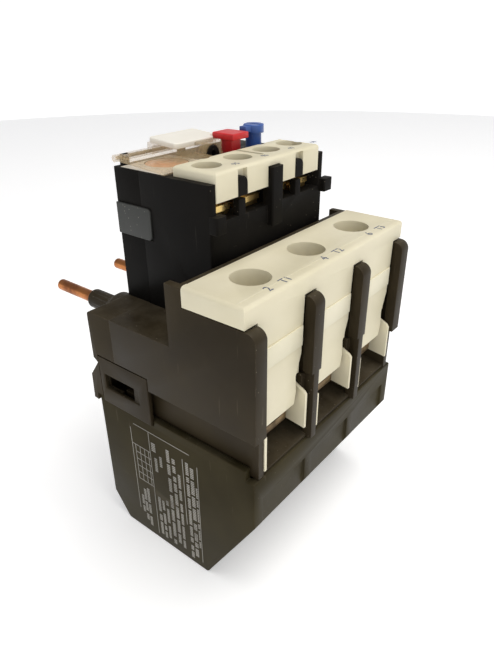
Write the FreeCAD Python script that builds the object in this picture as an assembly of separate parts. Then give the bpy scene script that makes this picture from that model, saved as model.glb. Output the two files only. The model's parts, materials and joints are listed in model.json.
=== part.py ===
"""Plug-on motor protection breaker (thermal overload relay) for a three-pole contactor.

Frame: +Z points out of the front panel that the user faces, +Y towards the contactor that the
relay plugs into, +X along the row of poles from pole 1 to pole 3. The origin is on the rear
face that lies against the mounting plate, midway between the side walls. Millimetres.
"""
import FreeCAD, Part
import math
import os

V = FreeCAD.Vector

# ---- driving dimensions -------------------------------------------------------------------
WIDTH = 70.0                  # across the three poles
POLE_PITCH = 21.9
REAR_Y = 24.7                 # rear (contactor) side of the lower housing
FRONT_Y = -30.4               # cable side of the lower housing
LOWER_TOP_Z = 45.0
STRIP_TOP_Z = 42.0            # top of the strip below the cable entries
LEDGE_Z = 71.0                # top of the rear cover and of the housing behind the case
COVER_TOP_Z = 87.5            # terminal cover
COVER_SIDE_Z = 82.4           # lower edge of the terminal cover's side
CASE_TOP_Z = 105.5            # mechanism case
CASE_X = (-21.75, 24.0)
CASE_Y = (-8.7, 23.3)
AUX_TOP_Z = 108.0
WALL = 2.0
GAP = 0.1                     # slip gap between moving pieces

HALF = WIDTH / 2
POLES = (-POLE_PITCH, 0.0, POLE_PITCH)
BARRIERS = (-POLE_PITCH / 2, POLE_PITCH / 2)

COVER_Y = (-28.6, -11.3)      # terminal cover, front and back
RIB_Y = -31.4                 # nose of the barrier ribs
RIB_TOP_Z = 82.2
SCREW_Y = -19.8               # power terminal screws
ACCESS_R = 4.75               # screwdriver hole over a power terminal
ACCESS_DEPTH = 12.5
TONGUE_LOW_Z = 54.2           # lower edge of the tongues in front of the pockets
PRONG_R = 1.7
PRONG_ROOT_R = 1.95           # inside the sleeve
SLEEVE_TIP_Y = 38.5
PRONG_Z = 65.6
PRONG_TIP_Y = 54.7
SEAM_Y = 15.3                 # terminal housing meets the rear cover
PANEL_LOW_Z = 54.7            # lower edge of the terminal housing's side panels
INSET_LOW_Z = STRIP_TOP_Z + 0.2
INSET_TOP_Z = 55.9            # top of the part of the housing that plugs into the tray
LOWER_HALF = HALF - 0.6       # the lower housing stands in a little
SCREW_X, SCREW_Z = (-30.2, 30.2), 65.0
SCREW_R = 1.4                 # housing screws

AUX_X = (-15.3, -4.3, 7.0, 17.0)
AUX_Y = -2.1
AUX_ACCESS_R = 3.5
SHELF_Z = 96.6                # shelf under the auxiliary terminals
AUX_COVER_X = (-20.0, 20.8)
AUX_COVER_Y = (-9.0, 4.0)
AUX_COVER_LOW_Z = 101.3
SHUTTER_X = ((-12.6, -9.2), (10.2, 13.6))
CASE_SEAM_Y = 14.0

DIAL_XY = (-11.0, 15.4)
DIAL_R = 5.4
STOP_XY = (5.8, 8.6)
RESET_XY = (15.2, 8.4)
SPRING_FLOOR_Z = 92.0
CEILING_Z = CASE_TOP_Z - WALL
HINGE_Y, HINGE_Z = 22.5, 107.4
HINGE_R = 0.9
PIN_R = 0.45
EAR_X = (-18.4, 1.4)          # ears that carry the hinge pin
COVER_X = (-21.6, 5.2)        # transparent dial cover
COVER_TILT = 4.5              # degrees, front edge low
EYE_XZ = (-1.2, 107.0)        # sealing eye
EYE_Y = (8.3, 11.3)
LABEL_X, LABEL_Y = (-11.4, 4.8), (11.6, 21.4)
BUTTON_ROOM = (2.2, 13.0)     # the cover stays left of this x, or behind this y

LEVER_X, LEVER_Z = 17.2, 79.0
NC_X = (-12.0, -5.0)          # normally closed pair of contacts
NO_X = (3.0, 10.0)            # normally open pair
CONTACT_STROKE = 1.5


OUT = "parts"


# ---- small helpers ------------------------------------------------------------------------
def block(x, y, z):
    """Box between two limits on each axis."""
    return Part.makeBox(x[1] - x[0], y[1] - y[0], z[1] - z[0], V(x[0], y[0], z[0]))


def about(cx, half):
    """Limits centred on a coordinate."""
    return (cx - half, cx + half)


def rod(radius, start, length, axis=(0, 0, 1)):
    return Part.makeCylinder(radius, length, V(*start), V(*axis))


def side_profile(points, x):
    """Closed outline in the YZ plane, drawn out along X."""
    wire = Part.makePolygon([V(x[0], y, z) for y, z in points + points[:1]])
    return Part.Face(wire).extrude(V(x[1] - x[0], 0, 0))


def front_profile(points, y):
    """Closed outline in the XZ plane, drawn out along Y."""
    wire = Part.makePolygon([V(x, y[0], z) for x, z in points + points[:1]])
    return Part.Face(wire).extrude(V(0, y[1] - y[0], 0))


def fuse(shapes):
    shapes = list(shapes)
    joined = shapes[0].fuse(shapes[1:]) if len(shapes) > 1 else shapes[0]
    return joined.removeSplitter()


def cut(shape, tools):
    return shape.cut(list(tools)).removeSplitter()


def edges_where(shape, test):
    return [e for e in shape.Edges if test(e)]


def soften(shape, radius, test):
    """Rounds the straight edges that pass the test."""
    chosen = edges_where(shape, test)
    return shape.makeFillet(radius, chosen) if chosen else shape


def runs_along(edge, axis):
    if len(edge.Vertexes) != 2 or edge.Curve.TypeId != "Part::GeomLine":
        return False
    d = edge.Vertexes[1].Point - edge.Vertexes[0].Point
    across = [c for i, c in enumerate(d) if i != axis]
    return max(abs(c) for c in across) < 1e-6


def middle(edge):
    return edge.CenterOfMass


def save(name, *solids):
    """Writes one named sub-part. Each argument is a separate solid of it."""
    shape = solids[0] if len(solids) == 1 else Part.makeCompound(list(solids))
    assert shape.isValid() and all(s.Volume > 0 for s in shape.Solids), name
    shape.exportStep(os.path.join(OUT, name + ".step"))


# ---- housings -----------------------------------------------------------------------------
def lower_housing():
    """Tray with sloping front and rear toes, pole partitions and a moulded front strip."""
    outline = [(FRONT_Y, 27.9), (-13.8, 0), (19.1, 0), (REAR_Y, 8.1),
               (REAR_Y, LOWER_TOP_Z), (FRONT_Y, LOWER_TOP_Z)]
    outer = side_profile(outline, (-LOWER_HALF, LOWER_HALF))
    outer = soften(outer, 1.2, lambda e: runs_along(e, 0) and middle(e).z < 28.5)
    inner = side_profile([(FRONT_Y + WALL, 28.8), (-12.8, 2.2), (18.2, 2.2),
                          (REAR_Y - WALL, 8.8), (REAR_Y - WALL, LOWER_TOP_Z + 1),
                          (FRONT_Y + WALL, LOWER_TOP_Z + 1)],
                         (-LOWER_HALF + WALL, LOWER_HALF - WALL))
    tray = cut(outer, [inner])
    front_low = block((-HALF - 1, HALF + 1), (FRONT_Y - 1, FRONT_Y + WALL + 0.6),
                      (STRIP_TOP_Z, 46))
    window = [block(x, (FRONT_Y - 1, FRONT_Y + 0.7), (20.0, 35.5))
              for x in ((-30.8, -12.6), (-9.4, 9.4), (12.6, 30.8))]
    clip_seats = [block(x, (2.9, 22.4), (43.3, 46))
                  for x in ((-HALF, -HALF + 1.4), (HALF - 1.4, HALF))]
    tray = cut(tray, [front_low, *window, *clip_seats])
    partitions = [block(about(x, 0.8), (-12.0, 21.5), (2.0, 40.0)) for x in BARRIERS]
    return fuse([tray, *partitions])


def rib_nose(x, low_z):
    """Rounded barrier rib that stands proud of the terminal cover."""
    rib = block(x, (RIB_Y, COVER_Y[0]), (low_z, RIB_TOP_Z))
    return soften(rib, 2.4, lambda e: runs_along(e, 0) and middle(e).z > RIB_TOP_Z - 1
                  and middle(e).y < COVER_Y[0] - 1)


def terminal_housing():
    """Three open terminal pockets with barrier ribs, and the deck behind them."""
    parts = []
    panel = [(SEAM_Y, PANEL_LOW_Z), (SEAM_Y, LEDGE_Z), (-6.2, LEDGE_Z), (-6.2, 87.0),
             (COVER_Y[1], 87.0), (COVER_Y[1], COVER_SIDE_Z), (COVER_Y[0], RIB_TOP_Z),
             (COVER_Y[0], PANEL_LOW_Z)]
    for side in (-1, 1):
        x = sorted((side * HALF, side * (HALF - WALL)))
        parts.append(side_profile(panel, x))
        inset = sorted((side * (LOWER_HALF - WALL - GAP), side * (LOWER_HALF - 2 * WALL)))
        parts.append(block(inset, (FRONT_Y + 0.2, SEAM_Y), (INSET_LOW_Z, INSET_TOP_Z)))
        step = sorted((side * (HALF - WALL), side * (LOWER_HALF - WALL - GAP)))
        parts.append(block(step, (COVER_Y[0] + 0.6, SEAM_Y), (PANEL_LOW_Z, INSET_TOP_Z)))
        nose = sorted((side * HALF, side * (HALF - 4.0)))
        parts.append(rib_nose(nose, PANEL_LOW_Z))
    for x in BARRIERS:
        parts.append(rib_nose(about(x, 2.0), 62.0))
        parts.append(block(about(x, 1.1), (RIB_Y, COVER_Y[0]), (INSET_LOW_Z, 63.0)))
        parts.append(block((x - 2.4, x - 1.0), (COVER_Y[0], -25.4), (57.2, 61.2)))
        parts.append(block(about(x, 0.9), (COVER_Y[0], COVER_Y[1]), (44.6, RIB_TOP_Z - 2)))
        parts.append(block((x - 2.4, x + 0.8), (-24.0, COVER_Y[1]), (50.5, 57.0)))
    inner_half = LOWER_HALF - 2 * WALL
    back_y = (COVER_Y[1], COVER_Y[1] + WALL)
    parts.append(block((-HALF + WALL, HALF - WALL), back_y, (PANEL_LOW_Z, 87.0)))
    parts.append(block((-inner_half, inner_half), back_y, (INSET_LOW_Z, PANEL_LOW_Z)))
    for x in SCREW_X:
        parts.append(block(about(x, 2.6), (9.0, SEAM_Y - GAP), (62.0, LEDGE_Z - WALL)))
    floor = [(RIB_Y + 1.6, INSET_LOW_Z), (COVER_Y[1], 44.2), (COVER_Y[1], 46.2),
             (RIB_Y + 1.6, INSET_LOW_Z + 0.8)]
    parts.append(side_profile(floor, (-inner_half, inner_half)))
    deck = block((-HALF + WALL, HALF - WALL), (COVER_Y[1] + WALL, SEAM_Y),
                 (LEDGE_Z - WALL, LEDGE_Z))
    parts.append(deck)
    housing = fuse(parts)
    shaft = block((-18.0, 20.0), (-6.5, 13.0), (LEDGE_Z - 3, LEDGE_Z + 1))
    bar_slots = [block(about(x, 4.6), (COVER_Y[1] - 1, COVER_Y[1] + 3), (58.6, 61.4))
                 for x in POLES]
    clip_cut = [block(sorted((s * (HALF - 1.4), s * (HALF + 1))), (2.9, SEAM_Y + 1), (50, 58.4))
                for s in (-1, 1)]
    pilots = [rod(SCREW_R, (x, 10.0, SCREW_Z), 8, (0, 1, 0)) for x in SCREW_X]
    return cut(housing, [shaft, *bar_slots, *clip_cut, *pilots])


def rear_cover():
    """Back shell with the lip over the lower housing and a sleeve round each prong."""
    lip = [(24.9, 42.7), (26.6, 42.9), (26.3, 50.8), (22.6, 55.9), (24.2, 57.0),
           (24.2, LEDGE_Z), (SEAM_Y, LEDGE_Z), (SEAM_Y, LOWER_TOP_Z), (24.9, LOWER_TOP_Z)]
    outer = side_profile(lip, (-HALF, HALF))
    outer = soften(outer, 1.2, lambda e: runs_along(e, 0) and middle(e).y > 24
                   and middle(e).z > 70)
    inner = block((-HALF + WALL, HALF - WALL), (SEAM_Y - 1, 22.0), (44.0, LEDGE_Z - WALL))
    shell = cut(outer, [inner])
    clip_cut = [block(sorted((s * (HALF - 1.4), s * (HALF + 1))), (SEAM_Y - 1, 22.4), (44, 58.4))
                for s in (-1, 1)]
    sleeves = []
    for x in POLES:
        tube = rod(2.8, (x, 22.0, PRONG_Z), SLEEVE_TIP_Y - 22.0, (0, 1, 0))
        tube = tube.makeFillet(0.7, [e for e in tube.Edges if middle(e).y > SLEEVE_TIP_Y - 0.1])
        boss = rod(4.9, (x, 22.0, PRONG_Z), 4.8, (0, 1, 0))
        flare = Part.makeCone(4.9, 2.8, 3.4, V(x, 26.8, PRONG_Z), V(0, 1, 0))
        sleeves += [tube, boss, flare]
    shell = fuse([shell, *sleeves])
    bores = [rod(PRONG_ROOT_R + 0.05, (x, 10, PRONG_Z), 40, (0, 1, 0)) for x in POLES]
    screw_holes = [rod(SCREW_R + GAP, (x, 20, SCREW_Z), 8, (0, 1, 0)) for x in SCREW_X]
    return cut(shell, [*clip_cut, *bores, *screw_holes])


def snap_clip(side):
    """Window clip that locks the lower housing to the parts above it."""
    x = sorted((side * (HALF - 1.3), side * HALF))
    frame = block(x, (3.2, 22.2), (43.5, 58.0))
    window = block(x, (7.0, 20.5), (48.4, 53.0))
    hook = block(sorted((side * (HALF - 1.3), side * (HALF - 0.5))), (7.0, 9.4), (48.4, 53.0))
    return fuse([cut(frame, [window]), hook])


def clip_rooms():
    """Room for a screwdriver tip behind each clip window, through the walls."""
    return [block(sorted((side * (HALF - 1.3), side * (LOWER_HALF - 5.0))), (9.4, 20.5),
                  (48.4, 53.0)) for side in (-1, 1)]


def terminal_cover():
    """Pale cover: a top with three driver tubes, and a tongue in front of each pocket."""
    top = block((-HALF, HALF), COVER_Y, (COVER_SIDE_Z + 0.2, COVER_TOP_Z))
    hollow = block((-HALF + WALL, HALF - WALL), (COVER_Y[0] + WALL, COVER_Y[1] - WALL),
                   (COVER_SIDE_Z - 1, COVER_TOP_Z - WALL))
    shell = cut(top, [hollow])
    shell = soften(shell, 1.0, lambda e: middle(e).z > COVER_TOP_Z - 0.1
                   and middle(e).y < COVER_Y[1] - 0.5)
    tubes, tongues = [], []
    for x in POLES:
        tubes.append(rod(ACCESS_R + 1.2, (x, SCREW_Y, COVER_TOP_Z - ACCESS_DEPTH),
                         ACCESS_DEPTH - 1.0))
        left = x - 8.75 if x < 0 else x - 8.6
        right = x + 8.75 if x > 0 else x + 8.6
        outline = [(left, COVER_SIDE_Z + 1), (left, INSET_TOP_Z + 0.3),
                   (left + 0.4, INSET_TOP_Z + 0.2), (left + 0.4, TONGUE_LOW_Z),
                   (right - 2.9, TONGUE_LOW_Z), (right - 2.2, 57.6), (right - 2.6, 62.0),
                   (right - 0.6, 67.5), (right, COVER_SIDE_Z + 1)]
        tongues.append(front_profile(outline, (COVER_Y[0], COVER_Y[0] + 1.0)))
        tongues.append(block((left, right), (COVER_Y[0] + 0.9, COVER_Y[0] + 1.6),
                             (61.6, COVER_SIDE_Z + 1)))
    shell = fuse([shell, *tubes, *tongues])
    holes = [rod(ACCESS_R, (x, SCREW_Y, 60), 40) for x in POLES]
    back_relief = [block((-HALF + WALL - 0.1, HALF - WALL + 0.1), (COVER_Y[1] - 0.15, 0),
                         (70, 90))]
    return cut(shell, [*holes, *back_relief])


def wire_shield(x):
    """Pale guide that leads a conductor into the clamp: two cheeks and a bar across."""
    right = [(-30.6, 46.6), (-23.0, 47.6), (-23.0, 50.0), (-26.2, 57.0), (-26.2, 59.0),
             (-26.8, 59.0), (-30.0, 57.4), (-30.6, 56.6)]
    left = [(-30.4, 43.6), (-26.4, 44.2), (-26.2, 59.0), (-26.8, 59.0), (-27.2, 53.8),
            (-30.4, 53.4)]
    half = 8.4
    return (side_profile(right, (x + half - 0.8, x + half)),
            side_profile(left, (x - half, x - half + 0.8)),
            block((x - half + 0.8, x + half - 0.8), (-26.8, -26.2), (57.4, 59.0)))


# ---- power path ---------------------------------------------------------------------------
def contactor_prong(x):
    """Round plug-in conductor, and the flat tail and foot brazed to it."""
    root = rod(PRONG_ROOT_R, (x, 18.0, PRONG_Z), SLEEVE_TIP_Y - 17.7, (0, 1, 0))
    pin = rod(PRONG_R, (x, 18.0, PRONG_Z), PRONG_TIP_Y - 18.0, (0, 1, 0))
    pin = pin.makeFillet(0.7, [e for e in pin.Edges if middle(e).y > PRONG_TIP_Y - 0.1])
    tail = block(about(x, 2.2), (16.0, 18.0), (14.0, PRONG_Z + 1.7))
    foot = block(about(x, 2.2), (7.6, 16.0), (14.0, 15.6))
    return fuse([root, pin]), tail, foot


def bimetal_strip(x):
    """Two bonded strips, as separate solids, standing on the prong's foot."""
    inner = block((x - 0.6, x), (1.0, 7.4), (13.0, 60.0))
    outer = block((x, x + 0.6), (1.0, 7.4), (13.0, 60.0))
    return inner, outer


def heater_winding(x):
    """Flat heater ribbon wound round the bimetal strip."""
    turns = []
    for n in range(7):
        z = 20.0 + 4.6 * n
        ring = block(about(x, 1.7), (0.2, 8.2), (z, z + 2.6))
        turns.append(cut(ring, [block(about(x, 0.9), (0.8, 7.6), (z - 1, z + 4))]))
    riser = block(about(x, 1.2), (8.2, 8.8), (15.6, 50.2))
    return fuse([*turns, riser])


def load_busbar(x):
    """Strap up from the heater and the flat bar that enters the clamp, brazed to it."""
    bar = block(about(x, 4.2), (-25.5, -0.6), (59.0, 61.0))
    drop = block(about(x, 2.0), (-0.6, 0.2), (47.6, 61.0))
    return bar, drop


def terminal_cage(x):
    """Box clamp that the screw draws up under the busbar."""
    cage = block(about(x, 6.2), (-26.0, -13.6), (48.4, 65.6))
    cage = soften(cage, 0.8, lambda e: runs_along(e, 1))
    mouth = block(about(x, 4.7), (-27.0, -12.0), (50.4, 62.4))
    return cut(cage, [mouth, rod(3.06, (x, SCREW_Y, 60), 8)])


def terminal_screw(x):
    """Socket-head clamp screw."""
    shank = rod(3.0, (x, SCREW_Y, 61.1), 9.3)
    head = rod(4.4, (x, SCREW_Y, 70.2), 4.3)
    head = head.makeFillet(0.4, [e for e in head.Edges if middle(e).z > 74.4])
    corners = [V(x + 2.3 * math.cos(math.radians(60 * k)),
                 SCREW_Y + 2.3 * math.sin(math.radians(60 * k)), 71.8) for k in range(7)]
    socket = Part.Face(Part.makePolygon(corners)).extrude(V(0, 0, 4))
    return cut(fuse([shank, head]), [socket])


# ---- mechanism case and auxiliary terminals -----------------------------------------------
def side_tab(clearance):
    """Round-topped shape on the left of the auxiliary shelf, in the side of the pale cover."""
    x0 = AUX_COVER_X[0]
    y, z, radius = -0.9, 102.2, 2.3 + clearance
    x = (x0 + 0.1 - 2 * clearance, x0 + 0.8 + 2 * clearance)
    head = rod(radius, (x[0], y, z), x[1] - x[0], (1, 0, 0))
    body = block(x, about(y, radius), (SHELF_Z - 0.5, z))
    return fuse([head, body])


def dial_well():
    return rod(DIAL_R + 0.25, (*DIAL_XY, 104.0), 5)


def eye_tube():
    """Boss with a hole for a seal wire, beside the clear cover."""
    x, z = EYE_XZ
    length = EYE_Y[1] - EYE_Y[0]
    tube = rod(2.0, (x, EYE_Y[0], z), length, (0, 1, 0))
    tube = tube.common(block(about(x, 3), EYE_Y, (CASE_TOP_Z - 0.4, z + 3)))
    return cut(tube, [rod(0.8, (x, EYE_Y[0] - 1, z), length + 2, (0, 1, 0))])


def hinge_ear(x):
    """Upright on the case that holds the hinge pin of the clear cover."""
    span = (x - 0.9, x + 0.9)
    foot = block(span, about(HINGE_Y, 0.8), (CASE_TOP_Z - 0.5, HINGE_Z))
    return fuse([foot, rod(0.8, (span[0], HINGE_Y, HINGE_Z), 1.8, (1, 0, 0))])


def mechanism_case():
    """Front part of the mechanism case with the auxiliary terminal shelf."""
    x0, x1 = CASE_X
    y0, seam = CASE_Y[0], CASE_SEAM_Y
    outer = block(CASE_X, (y0, seam), (LEDGE_Z, CASE_TOP_Z))
    outer = soften(outer, 0.8, lambda e: runs_along(e, 2) and middle(e).y < y0 + 0.1)
    room = block((x0 + WALL, x1 - WALL), (y0 + WALL, seam + 1), (LEDGE_Z - 1, 93.6))
    mid_room = block((x0 + WALL, x1 - WALL), (AUX_COVER_Y[1] + 1.2, seam + 1),
                     (93.0, CASE_TOP_Z - WALL))
    shelf_room = block((x0 + 1.75, x1 - WALL), (y0 - 1, AUX_COVER_Y[1] + 0.1),
                       (SHELF_Z, CASE_TOP_Z + 1))
    case = cut(outer, [room, mid_room, shelf_room])
    adds = [
        block((-1.0, 3.4), (y0 - 1.6, y0 + 1.4), (91.5, CASE_TOP_Z + 0.4)),
        block((-12.0, -9.6), (y0, -6.9), (SHELF_Z - 0.5, 100.4)),
        block((11.0, 13.2), (y0, -6.9), (SHELF_Z - 0.5, 100.4)),
        block((x0, x0 + 3.4), (y0 - 1.8, y0 + 0.6), (94.6, 98.6)),
        block((x1 - 1.6, x1 + 2.3), (y0 - 1.8, y0 + 0.6), (95.2, 98.6)),
    ]
    adds = [soften(a, 0.5, lambda e: runs_along(e, 2) and middle(e).y < y0 - 0.2)
            for a in adds]
    adds += [block((0.4, 2.0), (y0 + 1.0, AUX_COVER_Y[1] + 0.4), (SHELF_Z - 0.5, 104.0)),
             block((1.0, x1 - WALL + 0.2), (5.0, 13.2), (SPRING_FLOOR_Z - 1.2, SPRING_FLOOR_Z)),
             side_tab(0.0), eye_tube()]
    case = fuse([case, *adds])
    bores = [rod(2.0, (x, AUX_Y, 90), 10) for x in AUX_X]
    stop_hole = block(about(STOP_XY[0], 2.0), about(STOP_XY[1], 2.2), (85, 110))
    reset_hole = rod(2.35, (*RESET_XY, CEILING_Z - 1), 5)
    reset_guide = rod(1.35, (*RESET_XY, 85), 10)
    clip_seat = block((x0 - 1, x0 + 0.5), (10.8, seam + 1), (88.8, 97.0))
    return cut(case, [*bores, stop_hole, reset_hole, reset_guide, dial_well(), clip_seat])


def mechanism_rear_cover():
    """Rear half of the case, with the dial platform."""
    x0, x1 = CASE_X
    outer = block(CASE_X, (CASE_SEAM_Y, CASE_Y[1]), (LEDGE_Z, CASE_TOP_Z))
    outer = soften(outer, 0.8, lambda e: runs_along(e, 2) and middle(e).y > CASE_Y[1] - 0.1)
    room = block((x0 + WALL, x1 - WALL), (CASE_SEAM_Y - 1, CASE_Y[1] - WALL),
                 (LEDGE_Z + WALL, CASE_TOP_Z - WALL))
    side_relief = block((x0 - 1, x0 + 0.15), (CASE_SEAM_Y, CASE_Y[1] + 1),
                        (LEDGE_Z - 1, CASE_TOP_Z + 1))
    shaft_hole = rod(1.26, (*DIAL_XY, 100), 6)
    clip_seat = block((x0 - 1, x0 + 0.5), (CASE_SEAM_Y - 1, 23.2), (88.8, 97.0))
    shell = cut(outer, [room, side_relief, dial_well(), shaft_hole, clip_seat])
    shell = fuse([shell, *[hinge_ear(x) for x in EAR_X]])
    pin_hole = rod(PIN_R, (COVER_X[0], HINGE_Y, HINGE_Z), 30, (1, 0, 0))
    return cut(shell, [pin_hole])


def case_side_clip():
    """Flat clip across the seam of the mechanism case."""
    x0 = CASE_X[0]
    plate = block((x0 - 0.35, x0 + 0.45), (10.9, 23.1), (88.9, 96.9))
    return soften(plate, 1.2, lambda e: runs_along(e, 0) and middle(e).y < 12)


def aux_terminal_cover():
    """Pale cover over the four auxiliary screws."""
    x0, x1 = AUX_COVER_X
    y0, y1 = AUX_COVER_Y
    outer = block(AUX_COVER_X, AUX_COVER_Y, (AUX_COVER_LOW_Z, AUX_TOP_Z))
    outer = soften(outer, 0.9, lambda e: middle(e).z > AUX_TOP_Z - 0.1)
    room = block((x0 + 1.6, x1 - 1.6), (y0 + 1.6, y1 + 1), (AUX_COVER_LOW_Z - 1, 106.2))
    shell = cut(outer, [room])
    collars = [rod(AUX_ACCESS_R + 0.9, (x, AUX_Y, 104.8), 2.4) for x in AUX_X]
    web = block((x0 + 1, x1 - 1), (y1 - 1.4, y1), (105.8, AUX_TOP_Z - 1))
    shell = fuse([shell, *collars, web])
    holes = [rod(AUX_ACCESS_R, (x, AUX_Y, 100), 12) for x in AUX_X]
    rib_slot = block((-1.2, 3.6), (y0 - 1, y0 + 2.0), (AUX_COVER_LOW_Z - 1, CASE_TOP_Z + 0.6))
    back_slot = block((1.2, 2.2), (-5.2, y1 + 1), (104, AUX_TOP_Z + 1))
    divider_room = block((0.2, 2.2), (y0 + 1.5, y1 + 1), (AUX_COVER_LOW_Z - 1, 104.3))
    notches = [block(x, (y0 - 1, y0 + 1.2), (AUX_COVER_LOW_Z - 1, AUX_TOP_Z - 0.6))
               for x in SHUTTER_X]
    scallops = [rod(2.2, (x, y1 + 0.8, 100), 12) for x in (-9.8, 12.0)]
    return cut(shell, [*holes, rib_slot, back_slot, divider_room, *notches, *scallops,
                       side_tab(0.25)])


def aux_shutter(x):
    """Dark round-topped shutter seen in a notch of the auxiliary cover."""
    y0 = AUX_COVER_Y[0]
    body = block((x[0] + 0.15, x[1] - 0.15), (y0 - 0.2, y0 + 1.1), (AUX_COVER_LOW_Z, 105.8))
    return soften(body, 1.9, lambda e: runs_along(e, 1) and middle(e).z > 105.7
                  and middle(e).x > x[0] + 1)


def aux_screw(x):
    """Slotted brass screw."""
    shank = rod(1.5, (x, AUX_Y, 93.8), 5.8)
    head = rod(2.9, (x, AUX_Y, 99.5), 2.2)
    head = head.makeFillet(0.5, [e for e in head.Edges if middle(e).z > 101.6])
    slot = block(about(x, 4), about(AUX_Y, 0.45), (100.7, 103))
    cross = block(about(x, 0.45), about(AUX_Y, 1.9), (100.7, 103))
    return cut(fuse([shank, head]), [slot, cross])


def aux_clamp(x):
    """Square saddle washer under an auxiliary screw."""
    plate = block(about(x, 3.3), (AUX_Y - 4.0, AUX_Y + 3.6), (98.5, 99.4))
    turned = block(about(x, 3.3), (AUX_Y - 4.0, AUX_Y - 3.2), (98.0, 98.6))
    return cut(fuse([plate, turned]), [rod(1.56, (x, AUX_Y, 95), 8)])


def aux_contact_plate(x):
    plate = block(about(x, 3.6), (AUX_Y - 3.1, AUX_Y + 5.4), (SHELF_Z, 97.8))
    return cut(plate, [rod(1.56, (x, AUX_Y, 95), 8)])


# ---- controls -----------------------------------------------------------------------------
def stop_button():
    """Square push button on a square stem, with a flange that keeps it in the case."""
    cx, cy = STOP_XY
    cap = block(about(cx, 3.1), about(cy, 3.6), (109.8, 111.4))
    cap = soften(cap, 0.3, lambda e: middle(e).z > 111.3)
    stem = block(about(cx, 1.8), about(cy, 2.0), (90.0, 109.9))
    flange = block(about(cx, 3.3), about(cy, 3.3), (CEILING_Z - 1.2, CEILING_Z - GAP))
    return fuse([cap, stem, flange])


def coil_spring(cx, cy, z0, z1, radius, wire, turns):
    """Compression spring with round wire."""
    helix = Part.makeHelix((z1 - z0 - 2 * wire) / turns, z1 - z0 - 2 * wire, radius)
    start = V(radius, 0, 0)
    ring = Part.Wire(Part.makeCircle(wire / 2, start, V(0, 1, 0)))
    spring = Part.Wire(helix.Edges).makePipeShell([ring], True, True)
    spring.translate(V(cx, cy, z0 + wire))
    return spring


def reset_plunger():
    """Sliding core of the reset control."""
    cx, cy = RESET_XY
    stem = rod(1.2, (cx, cy, 88.5), 23.1)
    flange = rod(3.2, (cx, cy, 98.8), 1.1)
    return fuse([stem, flange])


def reset_knob():
    """Turning sleeve with a winged head, for manual or automatic reset."""
    cx, cy = RESET_XY
    sleeve = fuse([rod(2.15, (cx, cy, 100.0), 11.0),
                   rod(3.0, (cx, cy, CEILING_Z - 1.1), 1.0)])
    head = rod(2.75, (cx, cy, 110.2), 2.0)
    head = head.makeFillet(0.3, [e for e in head.Edges if middle(e).z > 112.1])
    wing = block((cx - 4.6, cx), about(cy, 1.1), (110.6, 112.0))
    tab = block((cx, cx + 3.2), about(cy, 1.1), (109.6, 111.9))
    knob = fuse([sleeve, head, wing, tab])
    slot = block(about(cx, 0.45), about(cy, 2.4), (111.6, 113))
    return cut(knob, [rod(1.25, (cx, cy, 99), 12.61), slot])


def setting_dial():
    """Current dial with a fluted rim, a screwdriver slot and a shaft."""
    x, y = DIAL_XY
    disc = rod(DIAL_R, (x, y, 104.1), 1.4)
    flutes = [rod(0.28, (x + (DIAL_R + 0.05) * math.cos(math.radians(a)),
                         y + (DIAL_R + 0.05) * math.sin(math.radians(a)), 104), 3)
              for a in range(0, 360, 20)]
    hub = rod(2.6, (x, y, 105.0), 0.9)
    shaft = rod(1.2, (x, y, 99.0), 5.2)
    slot = block(about(x, 2.1), about(y, 0.45), (104.9, 107))
    return cut(fuse([disc, hub, shaft]), [*flutes, slot])


def button_room():
    return block((BUTTON_ROOM[0], 12.0), (0.0, BUTTON_ROOM[1]), (100.0, 115.0))


def scale_plate():
    """Pale printed plate round the setting dial."""
    plate = block((-21.0, -4.0), (6.6, 21.1), (CASE_TOP_Z, CASE_TOP_Z + 0.12))
    return cut(plate, [rod(DIAL_R + 0.25, (*DIAL_XY, 100), 10)])


def dial_cover():
    """Clear cover, hinged at the rear, with a table for the label and an arch over the eye."""
    x0, x1 = COVER_X
    ex, ez = EYE_XZ
    plate = block(COVER_X, (5.2, HINGE_Y), (107.05, 108.3))
    table = block((LABEL_X[0] - 0.4, x1), (LABEL_Y[0] - 0.4, LABEL_Y[1] + 0.3), (108.0, 110.0))
    table = soften(table, 0.6, lambda e: runs_along(e, 2))
    arch = block((ex - 3.6, BUTTON_ROOM[0]), (8.7, LABEL_Y[0]), (107.05, 110.9))
    barrel = rod(HINGE_R, (x0, HINGE_Y, HINGE_Z), x1 - x0, (1, 0, 0))
    hollow = block((LABEL_X[0] + 0.6, x1 - 1.0), (LABEL_Y[0] + 0.6, LABEL_Y[1] - 0.7),
                   (106.0, 109.2))
    cover = cut(fuse([plate, table, arch, barrel]), [hollow])
    cover = cover.rotate(V(0, HINGE_Y, HINGE_Z), V(1, 0, 0), COVER_TILT)
    pin_hole = rod(PIN_R + 0.06, (x0 - 1, HINGE_Y, HINGE_Z), x1 - x0 + 2, (1, 0, 0))
    ear_rooms = [block(about(x, 1.1), (21.2, 25), (105, 110)) for x in EAR_X]
    eye_room = [rod(2.35, (ex, 4.0, ez), LABEL_Y[0] - 4.0, (0, 1, 0)),
                block(about(ex, 2.35), (4.0, LABEL_Y[0]), (104, ez)),
                block((ex - 2.35, x1 + 1), (4.0, 8.2), (104, 110))]
    return cut(cover, [pin_hole, *ear_rooms, *eye_room, button_room()])


def marker_label():
    """White write-on plate clipped on the clear cover."""
    plate = block(LABEL_X, LABEL_Y, (110.0, 111.4))
    plate = soften(plate, 1.0, lambda e: runs_along(e, 2))
    plate = soften(plate, 0.35, lambda e: middle(e).z > 111.3)
    plate = plate.rotate(V(0, HINGE_Y, HINGE_Z), V(1, 0, 0), COVER_TILT)
    return cut(plate, [button_room()])


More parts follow.
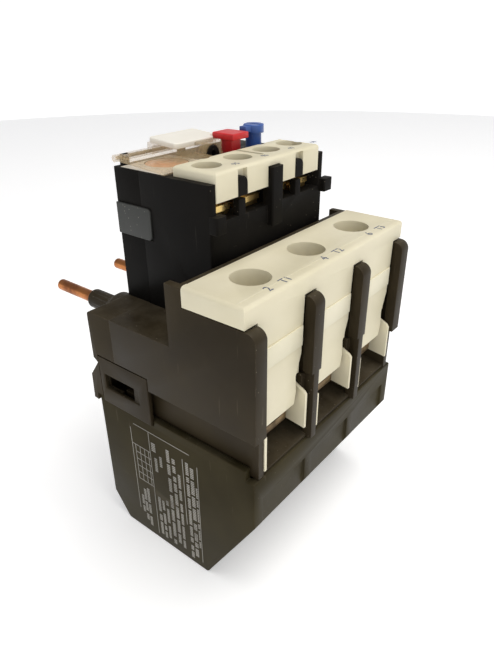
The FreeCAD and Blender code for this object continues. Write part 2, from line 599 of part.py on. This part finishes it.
def cover_hinge_pin():
    return rod(PIN_R, (COVER_X[0] + 1.0, HINGE_Y, HINGE_Z), COVER_X[1] - COVER_X[0] - 2.0,
               (1, 0, 0))


# ---- trip mechanism -----------------------------------------------------------------------
def trip_slider():
    """Comb bar that the three bimetal strips push sideways."""
    bar = block((-27.0, 26.0), (-5.8, -3.4), (51.8, 54.4))
    teeth = [block((x + 2.2, x + 3.4), (-3.6, 3.0), (51.8, 54.4)) for x in POLES]
    finger = block((13.0, LEVER_X - 2.1), (-5.8, -3.4), (54.4, LEVER_Z - 6.5))
    return fuse([bar, *teeth, finger])


def trip_lever():
    """Rocking lever that turns the slider's push into the contact stroke."""
    hub = rod(2.0, (LEVER_X, -5.6, LEVER_Z), 9.2, (0, 1, 0))
    low_arm = block((LEVER_X - 1.8, LEVER_X - 0.3), (-5.6, -3.2), (LEVER_Z - 9.2, LEVER_Z))
    high_arm = block((LEVER_X - 0.8, LEVER_X + 0.8), (1.2, 3.4), (LEVER_Z, LEVER_Z + 9.0))
    lever = fuse([hub, low_arm, high_arm])
    return cut(lever, [rod(1.05, (LEVER_X, -8, LEVER_Z), 14, (0, 1, 0))])


def lever_pivot():
    """Steel pin that carries the trip lever, held in the case's front wall."""
    return rod(1.0, (LEVER_X, CASE_Y[0] + WALL, LEVER_Z), 10.6, (0, 1, 0))


def contact_bridge():
    """Moving carrier of the auxiliary contacts with its four contact blades."""
    end_x = LEVER_X - 1.2
    carrier = block((-14.0, end_x), (1.2, 3.4), (LEVER_Z + 5.4, LEVER_Z + 7.8))
    blades = [block(about(x, 0.4), (3.2, 4.8), (LEVER_Z + 5.8, LEVER_Z + 7.4))
              for x in NC_X + NO_X]
    return fuse([carrier, *blades])


def fixed_contacts():
    """Brass risers under the auxiliary terminals: two touch at rest, two after the stroke."""
    near = [x + 0.7 for x in NC_X]
    far = [x - 0.7 - CONTACT_STROKE - 0.7 for x in NO_X]
    return [block((x, x + 0.7), (3.8, 4.9), (78.0, 93.0)) for x in near + far]


def housing_screws():
    """Pan-head screws that hold the rear cover to the terminal housing."""
    face_y = 24.2
    screws = []
    for x in SCREW_X:
        head = rod(2.6, (x, face_y, SCREW_Z), 1.3, (0, 1, 0))
        shank = rod(SCREW_R, (x, 12.5, SCREW_Z), face_y - 12.4, (0, 1, 0))
        slot = block(about(x, 4), (face_y + 0.7, face_y + 3), about(SCREW_Z, 0.35))
        screws.append(cut(fuse([head, shank]), [slot]))
    return screws


def build():
    os.makedirs(OUT, exist_ok=True)
    save("lower_housing", cut(lower_housing(), clip_rooms()))
    save("terminal_housing", cut(terminal_housing(), clip_rooms()))
    save("rear_cover", cut(rear_cover(), clip_rooms()))
    save("snap_clip_left", snap_clip(-1))
    save("snap_clip_right", snap_clip(1))
    save("terminal_cover", terminal_cover())
    save("mechanism_case", mechanism_case())
    save("mechanism_rear_cover", mechanism_rear_cover())
    save("case_side_clip", case_side_clip())
    save("aux_terminal_cover", aux_terminal_cover())
    save("aux_shutters", *[aux_shutter(x) for x in SHUTTER_X])
    for n, x in enumerate(POLES, 1):
        save(f"contactor_prong_{n}", *contactor_prong(x))
        save(f"bimetal_strip_{n}", *bimetal_strip(x))
        save(f"heater_winding_{n}", heater_winding(x))
        save(f"load_busbar_{n}", *load_busbar(x))
        save(f"terminal_cage_{n}", terminal_cage(x))
        save(f"terminal_screw_{n}", terminal_screw(x))
        save(f"wire_shield_{n}", *wire_shield(x))
    for n, x in enumerate(AUX_X, 1):
        save(f"aux_screw_{n}", aux_screw(x))
        save(f"aux_clamp_{n}", aux_clamp(x))
    save("aux_contact_plates", *[aux_contact_plate(x) for x in AUX_X])
    save("stop_button", stop_button())
    save("stop_spring", coil_spring(*STOP_XY, SPRING_FLOOR_Z, CEILING_Z - 1.2, 3.0, 0.5, 4))
    save("reset_plunger", reset_plunger())
    save("reset_knob", reset_knob())
    save("reset_spring", coil_spring(*RESET_XY, SPRING_FLOOR_Z, 98.8, 2.4, 0.5, 4))
    save("setting_dial", setting_dial())
    save("dial_cover", dial_cover())
    save("marker_label", marker_label())
    save("scale_plate", scale_plate())
    save("cover_hinge_pin", cover_hinge_pin())
    save("trip_slider", trip_slider())
    save("trip_lever", trip_lever())
    save("lever_pivot", lever_pivot())
    save("contact_bridge", contact_bridge())
    save("fixed_contacts", *fixed_contacts())
    save("housing_screws", *housing_screws())


build()
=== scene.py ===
"""Motor protection breaker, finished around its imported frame. Metres, +Z out of the front panel."""

import json
import math
import random

import bpy
from mathutils import Matrix, Vector


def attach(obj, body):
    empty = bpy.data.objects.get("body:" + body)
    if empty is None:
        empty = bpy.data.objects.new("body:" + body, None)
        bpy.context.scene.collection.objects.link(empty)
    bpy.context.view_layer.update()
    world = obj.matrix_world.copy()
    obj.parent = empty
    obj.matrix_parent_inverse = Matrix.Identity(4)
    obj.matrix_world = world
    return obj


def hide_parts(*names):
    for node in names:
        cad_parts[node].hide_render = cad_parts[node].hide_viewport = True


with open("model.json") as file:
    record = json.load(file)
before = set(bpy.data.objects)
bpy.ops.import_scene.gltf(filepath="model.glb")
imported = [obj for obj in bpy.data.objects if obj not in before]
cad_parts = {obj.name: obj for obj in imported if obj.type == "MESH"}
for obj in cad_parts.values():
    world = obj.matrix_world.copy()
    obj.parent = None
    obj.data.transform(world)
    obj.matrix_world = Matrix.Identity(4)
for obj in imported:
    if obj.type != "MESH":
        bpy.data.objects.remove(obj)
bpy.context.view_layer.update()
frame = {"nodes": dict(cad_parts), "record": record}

# Driving sizes in millimetres, turned into metres by MM where a piece is made.
MM = 0.001
POLES = (-21.9, 0.0, 21.9)            # middle of each power terminal, along X
AUX = (-15.3, -4.3, 7.0, 17.0)        # middle of each auxiliary terminal, along X
TONGUE_Y = -28.5                      # outer face of the cover's tongues, a little sunk in
COVER_TOP_Z = 87.5
COVER_HALF = 34.4
AUX_TOP_Z = 108.0
SIDE_X = -34.4                        # left face of the lower housing
PRINT_THICK = 0.06                    # how far the side print stands out
RULE_HALF = 0.07                      # half the width of a printed line
DIAL_XY = (-11.0, 15.4)
TICK_RADIUS = 6.5
TICK_Z = (105.62, 105.66)
BASE = "base"


# ---- materials: shared effects ------------------------------------------------------------
def new_group(name, inputs, outputs):
    """Empty shader group. Each input is (name, socket type, default)."""
    group = bpy.data.node_groups.new(name, "ShaderNodeTree")
    for label, kind, value in inputs:
        socket = group.interface.new_socket(label, in_out="INPUT", socket_type=kind)
        socket.default_value = value
    for label, kind in outputs:
        group.interface.new_socket(label, in_out="OUTPUT", socket_type=kind)
    return group, group.nodes.new("NodeGroupInput"), group.nodes.new("NodeGroupOutput")


def node(tree, kind, inputs=None, **settings):
    """Adds a node, sets its settings, and links or sets its inputs."""
    made = tree.nodes.new(kind)
    for key, value in settings.items():
        setattr(made, key, value)
    for key, value in (inputs or {}).items():
        if isinstance(value, bpy.types.NodeSocket):
            tree.links.new(value, made.inputs[key])
        else:
            made.inputs[key].default_value = value
    return made


def sums(tree, operation, a, b=0.0, clamp=False):
    return node(tree, "ShaderNodeMath", {0: a, 1: b}, operation=operation, use_clamp=clamp).outputs[0]


def spread(tree, value, low, high, to_low=0.0, to_high=1.0):
    """Maps a value from one range to another, held at both ends."""
    made = node(tree, "ShaderNodeMapRange", {"Value": value, "From Min": low, "From Max": high,
                                             "To Min": to_low, "To Max": to_high})
    return made.outputs[0]


def blended(tree, factor, a, b):
    made = node(tree, "ShaderNodeMix", {0: factor, 6: a, 7: b}, data_type="RGBA")
    return made.outputs[2]


def object_place(tree):
    return node(tree, "ShaderNodeTexCoord").outputs["Object"]


def edge_wear_group():
    """Mask that is 1 along worn outer edges, broken up by noise."""
    group, given, out = new_group(
        "edge_wear",
        [("Radius", "NodeSocketFloat", 0.0004), ("Amount", "NodeSocketFloat", 1.0)],
        [("Mask", "NodeSocketFloat")])
    rounded = node(group, "ShaderNodeBevel", {"Radius": given.outputs["Radius"]}, samples=4)
    flat = node(group, "ShaderNodeNewGeometry")
    dot = node(group, "ShaderNodeVectorMath", {0: rounded.outputs[0], 1: flat.outputs["Normal"]},
               operation="DOT_PRODUCT")
    turn = spread(group, dot.outputs["Value"], 0.985, 0.86)
    patchy = node(group, "ShaderNodeTexNoise", {"Vector": object_place(group), "Scale": 230.0,
                                                "Detail": 6.0, "Roughness": 0.65})
    broken = spread(group, patchy.outputs[0], 0.47, 0.66)
    worn = sums(group, "MULTIPLY", turn, broken)
    group.links.new(sums(group, "MULTIPLY", worn, given.outputs["Amount"], clamp=True),
                    out.inputs["Mask"])
    return group


def dust_group():
    """Mask of pale specks and a film that gathers on faces that look up."""
    group, given, out = new_group(
        "dust",
        [("Specks", "NodeSocketFloat", 0.5), ("Film", "NodeSocketFloat", 0.3)],
        [("Mask", "NodeSocketFloat")])
    place = object_place(group)
    fine = node(group, "ShaderNodeTexVoronoi", {"Vector": place, "Scale": 1500.0})
    cells = node(group, "ShaderNodeSeparateColor", {0: fine.outputs["Color"]})
    chosen = spread(group, cells.outputs[0], 0.93, 0.95)
    dot = spread(group, fine.outputs["Distance"], 0.26, 0.10)
    specks = sums(group, "MULTIPLY", sums(group, "MULTIPLY", chosen, dot), given.outputs["Specks"])
    up = node(group, "ShaderNodeSeparateXYZ",
              {0: node(group, "ShaderNodeNewGeometry").outputs["Normal"]})
    upward = spread(group, up.outputs["Z"], 0.3, 0.95)
    cloud = node(group, "ShaderNodeTexNoise", {"Vector": place, "Scale": 90.0, "Detail": 8.0,
                                               "Roughness": 0.7})
    film = sums(group, "MULTIPLY", spread(group, cloud.outputs[0], 0.38, 0.72), upward)
    film = sums(group, "MULTIPLY", film, given.outputs["Film"])
    group.links.new(sums(group, "ADD", specks, film, clamp=True), out.inputs["Mask"])
    return group


def moulded_skin_group():
    """Height of a fine spark-eroded mould texture with a slow waviness."""
    group, given, out = new_group(
        "moulded_skin",
        [("Scale", "NodeSocketFloat", 3000.0), ("Wave", "NodeSocketFloat", 0.25)],
        [("Height", "NodeSocketFloat"), ("Cloud", "NodeSocketFloat")])
    place = object_place(group)
    fine = node(group, "ShaderNodeTexNoise", {"Vector": place, "Scale": given.outputs["Scale"],
                                              "Detail": 3.0, "Roughness": 0.6})
    slow = node(group, "ShaderNodeTexNoise", {"Vector": place, "Scale": 60.0, "Detail": 4.0})
    wave = sums(group, "MULTIPLY", slow.outputs[0], given.outputs["Wave"])
    group.links.new(sums(group, "ADD", fine.outputs[0], wave), out.inputs["Height"])
    group.links.new(slow.outputs[0], out.inputs["Cloud"])
    return group


def scratch_group():
    """Mask of thin straight scratches in two directions."""
    group, given, out = new_group("scratches", [("Amount", "NodeSocketFloat", 0.4)],
                                  [("Mask", "NodeSocketFloat")])
    place = object_place(group)
    total = None
    for turn, stretch in ((0.5, (25, 900, 60)), (-0.9, (700, 30, 90))):
        laid = node(group, "ShaderNodeMapping", {"Vector": place, "Rotation": (0.3, turn, turn),
                                                 "Scale": stretch})
        lines = node(group, "ShaderNodeTexNoise", {"Vector": laid.outputs[0], "Scale": 1.0,
                                                   "Detail": 2.0})
        thin = spread(group, lines.outputs[0], 0.70, 0.74)
        total = thin if total is None else sums(group, "MAXIMUM", total, thin)
    group.links.new(sums(group, "MULTIPLY", total, given.outputs["Amount"]), out.inputs["Mask"])
    return group


EDGE_WEAR = edge_wear_group()
DUST = dust_group()
SKIN = moulded_skin_group()
SCRATCHES = scratch_group()


def placed(tree, group, **values):
    made = node(tree, "ShaderNodeGroup", node_tree=group)
    for key, value in values.items():
        made.inputs[key].default_value = value
    return made.outputs


def fresh(name):
    """New material with only a Principled shader and its output."""
    material = bpy.data.materials.new(name)
    material.use_nodes = True
    tree = material.node_tree
    return material, tree, tree.nodes["Principled BSDF"]


def bumped(tree, shader, height, strength, distance):
    made = node(tree, "ShaderNodeBump", {"Height": height, "Strength": strength,
                                         "Distance": distance})
    tree.links.new(made.outputs[0], shader.inputs["Normal"])


def plastic(name, colour, cloud_colour, worn_colour, wear=0.6, specks=0.5, film=0.3,
            dust_colour=(0.42, 0.39, 0.33, 1), rough=(0.42, 0.6), bump=0.25,
            scratched=0.2, sheen=0.5):
    """Moulded thermoplastic: cloudy colour, scuffed edges, dust, scratches and a fine skin."""
    material, tree, shader = fresh(name)
    skin_out = placed(tree, SKIN, Scale=3000.0)
    wear_mask = placed(tree, EDGE_WEAR, Amount=wear)["Mask"]
    dust_mask = placed(tree, DUST, Specks=specks, Film=film)["Mask"]
    scratch_mask = placed(tree, SCRATCHES, Amount=scratched)["Mask"]
    cloudy = spread(tree, skin_out["Cloud"], 0.35, 0.65)
    tint = blended(tree, cloudy, (*colour, 1), (*cloud_colour, 1))
    tint = blended(tree, sums(tree, "MAXIMUM", wear_mask, scratch_mask), tint, (*worn_colour, 1))
    tint = blended(tree, dust_mask, tint, dust_colour)
    tree.links.new(tint, shader.inputs["Base Color"])
    roughness = spread(tree, skin_out["Cloud"], 0.3, 0.7, *rough)
    roughness = sums(tree, "ADD", roughness, sums(tree, "MULTIPLY", dust_mask, 0.35), clamp=True)
    tree.links.new(roughness, shader.inputs["Roughness"])
    shader.inputs["Specular IOR Level"].default_value = sheen
    bumped(tree, shader, skin_out["Height"], bump, 0.00004)
    return material


def metal(name, colour, tarnish, rough):
    """Bare metal with patches of tarnish and a fine grain."""
    material, tree, shader = fresh(name)
    place = object_place(tree)
    patches = node(tree, "ShaderNodeTexNoise", {"Vector": place, "Scale": 160.0, "Detail": 7.0,
                                                "Roughness": 0.6})
    mask = spread(tree, patches.outputs[0], 0.42, 0.66)
    tree.links.new(blended(tree, mask, (*colour, 1), (*tarnish, 1)), shader.inputs["Base Color"])
    grain = node(tree, "ShaderNodeTexNoise", {"Vector": place, "Scale": 2200.0, "Detail": 2.0})
    tree.links.new(spread(tree, mask, 0.0, 1.0, *rough), shader.inputs["Roughness"])
    shader.inputs["Metallic"].default_value = 1.0
    bumped(tree, shader, grain.outputs[0], 0.2, 0.00003)
    return material


HOUSING = plastic("brown_black_moulding", (0.026, 0.019, 0.010), (0.040, 0.030, 0.016),
                  (0.15, 0.12, 0.08), wear=0.5, specks=0.5, film=0.14,
                  dust_colour=(0.30, 0.26, 0.19, 1), rough=(0.40, 0.56), sheen=0.09)
LOWER = plastic("smooth_black_moulding", (0.029, 0.023, 0.010), (0.042, 0.034, 0.016),
                (0.14, 0.115, 0.08), wear=0.5, specks=0.35, film=0.10,
                dust_colour=(0.30, 0.26, 0.19, 1), rough=(0.34, 0.48), bump=0.15, sheen=0.05)
CASE = plastic("jet_black_moulding", (0.005, 0.0045, 0.004), (0.009, 0.008, 0.007),
               (0.08, 0.07, 0.06), wear=0.4, specks=0.45, film=0.08,
               dust_colour=(0.30, 0.26, 0.19, 1), rough=(0.42, 0.56), sheen=0.05)
CLIP = plastic("grey_clip", (0.026, 0.028, 0.025), (0.036, 0.038, 0.034), (0.17, 0.17, 0.16),
               wear=0.6, specks=0.7, film=0.1, rough=(0.5, 0.7))
CREAM = plastic("cream_moulding", (0.72, 0.66, 0.47), (0.77, 0.71, 0.53), (0.84, 0.80, 0.68),
                wear=0.25, specks=0.05, film=0.12, dust_colour=(0.50, 0.44, 0.30, 1),
                rough=(0.45, 0.6), bump=0.15, scratched=0.05)
CREAM_FRONT = plastic("cream_band", (0.74, 0.69, 0.51), (0.79, 0.74, 0.57), (0.86, 0.82, 0.70),
                      wear=0.2, specks=0.05, film=0.05, dust_colour=(0.50, 0.44, 0.30, 1),
                      rough=(0.4, 0.55), bump=0.12, scratched=0.04)
RED = plastic("red_button", (0.62, 0.014, 0.02), (0.70, 0.02, 0.026), (0.85, 0.22, 0.2), wear=0.3,
              specks=0.1, film=0.1, rough=(0.3, 0.42), bump=0.1, scratched=0.1)
BLUE = plastic("blue_knob", (0.03, 0.09, 0.34), (0.05, 0.13, 0.42), (0.2, 0.3, 0.55), wear=0.4,
               specks=0.2, film=0.1, rough=(0.3, 0.42), bump=0.1, scratched=0.1)
PEACH = plastic("peach_dial", (0.83, 0.36, 0.17), (0.86, 0.45, 0.27), (0.92, 0.7, 0.55), wear=0.3,
                specks=0.1, film=0.1, rough=(0.35, 0.5), bump=0.1, scratched=0.05)
WHITE = plastic("white_marker", (0.87, 0.83, 0.74), (0.91, 0.88, 0.80), (0.8, 0.76, 0.66), wear=0.3,
                specks=0.04, film=0.08, dust_colour=(0.55, 0.48, 0.36, 1), rough=(0.4, 0.55),
                bump=0.12, scratched=0.06)
INK = plastic("blue_grey_print", (0.05, 0.075, 0.15), (0.10, 0.13, 0.22), (0.5, 0.5, 0.5), wear=0.0,
              specks=0.3, film=0.1, rough=(0.5, 0.7), scratched=0.3)
PALE_INK = plastic("pale_print", (0.26, 0.25, 0.22), (0.42, 0.40, 0.36), (0.10, 0.09, 0.08),
                   wear=0.0, specks=0.0, film=0.0, rough=(0.5, 0.7), scratched=0.5)
COPPER = metal("oxidised_copper", (0.55, 0.21, 0.07), (0.22, 0.075, 0.03), rough=(0.3, 0.5))
BRASS = metal("brass", (0.80, 0.58, 0.22), (0.42, 0.26, 0.09), rough=(0.22, 0.45))
STEEL = metal("plated_steel", (0.62, 0.60, 0.55), (0.33, 0.29, 0.22), rough=(0.25, 0.5))
BRONZE = metal("bronze_clamp", (0.34, 0.24, 0.13), (0.12, 0.085, 0.05), rough=(0.35, 0.55))


def clear_moulding():
    """Yellowed clear plastic: mostly see-through, with grime and denser worn edges."""
    material, tree, shader = fresh("yellowed_clear")
    cloud = placed(tree, SKIN, Scale=1200.0)
    edges = placed(tree, EDGE_WEAR, Radius=0.0005, Amount=1.0)["Mask"]
    grime = spread(tree, cloud["Cloud"], 0.45, 0.75)
    colour = blended(tree, grime, (0.72, 0.55, 0.32, 1), (0.46, 0.31, 0.14, 1))
    tree.links.new(colour, shader.inputs["Base Color"])
    tree.links.new(spread(tree, grime, 0.0, 1.0, 0.08, 0.25), shader.inputs["Roughness"])
    cover = sums(tree, "ADD", spread(tree, grime, 0.0, 1.0, 0.26, 0.44),
                 sums(tree, "MULTIPLY", edges, 0.4), clamp=True)
    tree.links.new(cover, shader.inputs["Alpha"])
    bumped(tree, shader, cloud["Height"], 0.15, 0.00003)
    return material


CLEAR = clear_moulding()


# ---- modelling helpers --------------------------------------------------------------------
def deselect():
    if bpy.context.mode != "OBJECT":
        bpy.ops.object.mode_set(mode="OBJECT")
    bpy.ops.object.select_all(action="DESELECT")


def take(piece):
    deselect()
    piece.select_set(True)
    bpy.context.view_layer.objects.active = piece


def applied(piece, kind, **settings):
    """Adds a modifier and applies it."""
    take(piece)
    modifier = piece.modifiers.new(kind.lower(), kind)
    for key, value in settings.items():
        setattr(modifier, key, value)
    bpy.ops.object.modifier_apply(modifier=modifier.name)


def settle(piece):
    """Puts the piece's place into its mesh."""
    take(piece)
    bpy.ops.object.transform_apply(location=True, rotation=True, scale=True)


def finished(piece, name, material, body=BASE, replaced=()):
    """Names, paints and registers a piece."""
    take(piece)
    bpy.ops.object.shade_smooth_by_angle(angle=math.radians(35))
    piece.name = name
    piece.data.name = name
    piece.data.materials.clear()
    piece.data.materials.append(material)
    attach(piece, body)
    if replaced:
        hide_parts(*replaced)
    return piece


def body_of(name):
    for body, nodes in frame["record"]["behaviour"]["bodies"].items():
        if name in nodes:
            return body
    return BASE


def moulding(name, material, edge):
    """Radiused copy of a CAD node: triangles joined into faces, sharp edges rounded."""
    source = frame["nodes"][name]
    piece = source.copy()
    piece.data = source.data.copy()
    piece.parent = None
    bpy.context.scene.collection.objects.link(piece)
    take(piece)
    bpy.ops.object.mode_set(mode="EDIT")
    bpy.ops.mesh.select_all(action="SELECT")
    bpy.ops.mesh.remove_doubles(threshold=0.000002)
    bpy.ops.mesh.dissolve_limited(angle_limit=math.radians(1.0))
    bpy.ops.object.mode_set(mode="OBJECT")
    applied(piece, "BEVEL", width=edge * MM, segments=2, limit_method="ANGLE",
            angle_limit=math.radians(38), use_clamp_overlap=True, harden_normals=False)
    return finished(piece, name + "_moulding", material, body_of(name), (name,))


def stroke(low, high):
    """Thin block between two corners, in millimetres."""
    deselect()
    middle = [(a + b) / 2 * MM for a, b in zip(low, high)]
    bpy.ops.mesh.primitive_cube_add(size=1, location=middle)
    piece = bpy.context.object
    piece.scale = [(b - a) * MM for a, b in zip(low, high)]
    settle(piece)
    return piece


def bar(name, low, high, edge, material):
    """Bar between two corners, in millimetres, with rounded edges."""
    piece = stroke(low, high)
    applied(piece, "BEVEL", width=edge * MM, segments=2, limit_method="NONE")
    return finished(piece, name, material)


def joined(pieces, name, material):
    deselect()
    for piece in pieces:
        piece.select_set(True)
    bpy.context.view_layer.objects.active = pieces[0]
    bpy.ops.object.join()
    return finished(bpy.context.object, name, material)


def lettering(text, size, place):
    """Flat number made into a mesh, in millimetres."""
    deselect()
    bpy.ops.object.text_add(location=[v * MM for v in place])
    letters = bpy.context.object
    letters.data.body = text
    letters.data.size = size * MM
    letters.data.extrude = 0.015 * MM
    letters.data.align_x = "CENTER"
    letters.data.align_y = "CENTER"
    letters.data.resolution_u = 3
    bpy.ops.object.convert(target="MESH")
    settle(bpy.context.object)
    return bpy.context.object


# ---- radiused shells and controls ---------------------------------------------------------
moulding("lower_housing", LOWER, 0.35)
moulding("terminal_housing", HOUSING, 0.3)
moulding("rear_cover", HOUSING, 0.3)
moulding("snap_clip_left", HOUSING, 0.25)
moulding("snap_clip_right", HOUSING, 0.25)
moulding("terminal_cover", CREAM, 0.3)
moulding("mechanism_case", CASE, 0.25)
moulding("mechanism_rear_cover", CASE, 0.25)
moulding("case_side_clip", CLIP, 0.15)
moulding("aux_terminal_cover", CREAM, 0.25)
moulding("stop_button", RED, 0.2)
moulding("reset_knob", BLUE, 0.18)
moulding("setting_dial", PEACH, 0.12)
moulding("marker_label", WHITE, 0.15)
moulding("scale_plate", WHITE, 0.03)
moulding("dial_cover", CLEAR, 0.2)
for n in (1, 2, 3):
    moulding(f"wire_shield_{n}", CREAM, 0.2)
    moulding(f"terminal_cage_{n}", BRONZE, 0.3)

CARRIED = {"contactor_prong": COPPER, "load_busbar": COPPER, "terminal_screw": STEEL,
           "aux_screw": BRASS, "aux_clamp": BRASS, "aux_contact_plates": BRASS,
           "heater_winding": STEEL, "bimetal_strip": STEEL, "stop_spring": STEEL,
           "reset_spring": STEEL, "reset_plunger": BLUE, "cover_hinge_pin": STEEL,
           "trip_slider": WHITE, "trip_lever": WHITE, "lever_pivot": STEEL,
           "contact_bridge": BRASS, "fixed_contacts": BRASS, "housing_screws": STEEL,
           "aux_shutters": CASE}
for name, carried in frame["nodes"].items():
    for stem, material in CARRIED.items():
        if name.startswith(stem):
            carried.data.materials.clear()
            carried.data.materials.append(material)

# ---- details of the mouldings -------------------------------------------------------------
for n, x in enumerate(POLES, 1):
    bar(f"tongue_band_{n}", (x - 8.0, TONGUE_Y - 0.45, 69.9), (x + 8.0, TONGUE_Y, 75.2), 0.15,
        CREAM_FRONT)
    bar(f"snap_nib_{n}", (x - 8.2, TONGUE_Y - 0.6, 56.4), (x - 7.0, TONGUE_Y, 58.6), 0.2,
        CREAM)
    bar(f"tongue_rib_{n}", (x - 7.2, TONGUE_Y - 0.35, 63.2), (x - 5.6, TONGUE_Y, 66.0), 0.12,
        CREAM_FRONT)
bar("cover_front_line", (-COVER_HALF, -26.2, COVER_TOP_Z - 0.04),
    (COVER_HALF, -26.0, COVER_TOP_Z + 0.06), 0.04, CREAM_FRONT)

# ---- printed marks ------------------------------------------------------------------------
marks = []
for n, x in enumerate(POLES):
    marks.append(lettering(str(2 * n + 2), 3.2, (x - 2.7, -26.7, COVER_TOP_Z + 0.04)))
    marks.append(lettering(f"T{n + 1}", 3.0, (x + 3.4, -26.8, COVER_TOP_Z + 0.04)))
joined(marks, "terminal_marks", INK)
marks = [lettering(str(95 + n), 2.1, (x + 4.9, -6.6, AUX_TOP_Z + 0.02)) for n, x in enumerate(AUX)]
joined(marks, "aux_marks", INK)


def side_stroke(y, z):
    """Stroke of print on the left face, from its (low, high) along Y and along Z."""
    return stroke((SIDE_X - PRINT_THICK, y[0], z[0]), (SIDE_X, y[1], z[1]))


def print_column(y, z_from, z_to, width):
    """Column of small strokes, broken into words, that runs down the side label."""
    pitch = 0.62
    words = []
    z = z_from
    while z > z_to + 3 * pitch:
        count = min(random.randint(3, 9), int((z - z_to) / pitch))
        mark = side_stroke((y - width / 2, y + width / 2), (z - pitch * 0.55, z))
        applied(mark, "ARRAY", count=count, use_relative_offset=False, use_constant_offset=True,
                constant_offset_displace=(0, 0, -pitch * MM))
        words.append(mark)
        z -= (count + random.choice((1, 1, 2))) * pitch
    return words


# Word columns as (y, top, bottom, width), then upright and level lines of the label.
WORD_COLUMNS = (
    (4.1, 37.0, 33.4, 1.5), (3.6, 32.0, 26.5, 1.0), (1.6, 33.5, 27.0, 0.9),
    (3.9, 17.5, 2.5, 1.0), (2.3, 17.0, 2.0, 0.9), (0.6, 18.0, 1.5, 0.9),
    (-1.4, 37.5, 2.0, 1.1), (-3.4, 35.5, 2.0, 1.1), (-5.2, 31.0, 1.5, 0.9),
    (-8.4, 37.0, 1.5, 1.0), (-10.1, 36.0, 2.0, 1.2), (-11.5, 30.0, 6.0, 0.6),
    (9.9, 17.0, 4.0, 1.0), (8.5, 18.0, 3.0, 1.0), (11.2, 14.0, 6.0, 0.9))
GRID_TOP, GRID_BOTTOM, GRID_STEP = 33.0, 20.5, 2.5
UPRIGHT_LINES = [(5.6, 40.0, 2.0), (-6.9, 37.5, 14.0), (12.9, 38.5, 8.0),
                 *[(y, GRID_TOP, GRID_BOTTOM) for y in (11.6, 9.8, 8.0, 6.4)],
                 (-12.1, 37.5, 2.5)]
LEVEL_LINES = [(40.2, -9.5, 11.5), (GRID_TOP, 5.6, 12.9),
               *[(GRID_TOP - GRID_STEP * row, 5.6, 11.6) for row in range(1, 6)]]

random.seed(11)
side_print = []
for column in WORD_COLUMNS:
    side_print += print_column(*column)
for y, z_from, z_to in UPRIGHT_LINES:
    side_print.append(side_stroke((y - RULE_HALF, y + RULE_HALF), (z_to, z_from)))
for z, y_from, y_to in LEVEL_LINES:
    side_print.append(side_stroke((y_from, y_to), (z - RULE_HALF, z + RULE_HALF)))
joined(side_print, "side_label_print", PALE_INK)

ticks = []
for n in range(11):
    turn = math.radians(-60 + 24 * n)
    tick = stroke((-0.5, -0.09, TICK_Z[0]), (0.5, 0.09, TICK_Z[1]))
    tick.location = ((DIAL_XY[0] + TICK_RADIUS * math.sin(turn)) * MM,
                     (DIAL_XY[1] + TICK_RADIUS * math.cos(turn)) * MM, 0)
    tick.rotation_euler = (0, 0, math.pi / 2 - turn)
    settle(tick)
    ticks.append(tick)
joined(ticks, "dial_scale_ticks", INK)

# ---- camera, light and floor --------------------------------------------------------------
def studio_paint(name, glow):
    """Pale matt paint with a little light of its own, so the surroundings stay even."""
    material, tree, shader = fresh(name)
    shader.inputs["Base Color"].default_value = (0.86, 0.86, 0.86, 1)
    shader.inputs["Roughness"].default_value = 0.9
    shader.inputs["Emission Color"].default_value = (1, 1, 1, 1)
    shader.inputs["Emission Strength"].default_value = glow
    return material


deselect()
bpy.ops.mesh.primitive_plane_add(size=6, location=(0, 0, 0))
floor = bpy.context.object
floor.name = "floor"
floor.data.materials.append(studio_paint("pale_floor", 0.38))
bpy.ops.mesh.primitive_cone_add(vertices=96, radius1=0.9, radius2=1.6, depth=0.4,
                                end_fill_type="NOTHING", location=(0, 0, 0.199))
sweep = bpy.context.object
sweep.name = "floor_sweep"
sweep.data.materials.append(studio_paint("pale_sweep", 0.62))

camera_data = bpy.data.cameras.new("camera")
camera_data.sensor_width = 36
camera_data.lens = 30.97
camera_data.clip_start = 0.01
camera = bpy.data.objects.new("camera", camera_data)
bpy.context.scene.collection.objects.link(camera)
right = Vector((0.62509, -0.78051, -0.00837))
up = Vector((0.37806, 0.29337, 0.87807))
back = Vector((-0.68289, -0.55203, 0.47846))
camera.matrix_world = (Matrix.Translation((-0.11103, -0.09076, 0.13654))
                       @ Matrix((right, up, back)).transposed().to_4x4())
bpy.context.scene.camera = camera


def area_light(name, place, power, colour):
    """Soft square light that faces the middle of the object."""
    aim = Vector((0, 0, 0.06))
    data = bpy.data.lights.new(name, "AREA")
    data.size = 0.6
    data.energy = power
    data.color = colour
    lamp = bpy.data.objects.new(name, data)
    bpy.context.scene.collection.objects.link(lamp)
    lamp.location = place
    lamp.rotation_euler = (aim - Vector(place)).to_track_quat("-Z", "Y").to_euler()


area_light("key", (0.05, -0.25, 0.9), 5.8, (1.0, 0.98, 0.94))
area_light("fill", (-0.6, -0.5, 0.35), 0.5, (1.0, 0.98, 0.95))
world = bpy.data.worlds.new("studio")
bpy.context.scene.world = world
world.use_nodes = True
world.node_tree.nodes["Background"].inputs["Color"].default_value = (0.95, 0.96, 1.0, 1)
world.node_tree.nodes["Background"].inputs["Strength"].default_value = 0.34
bpy.context.scene.view_settings.view_transform = "Standard"
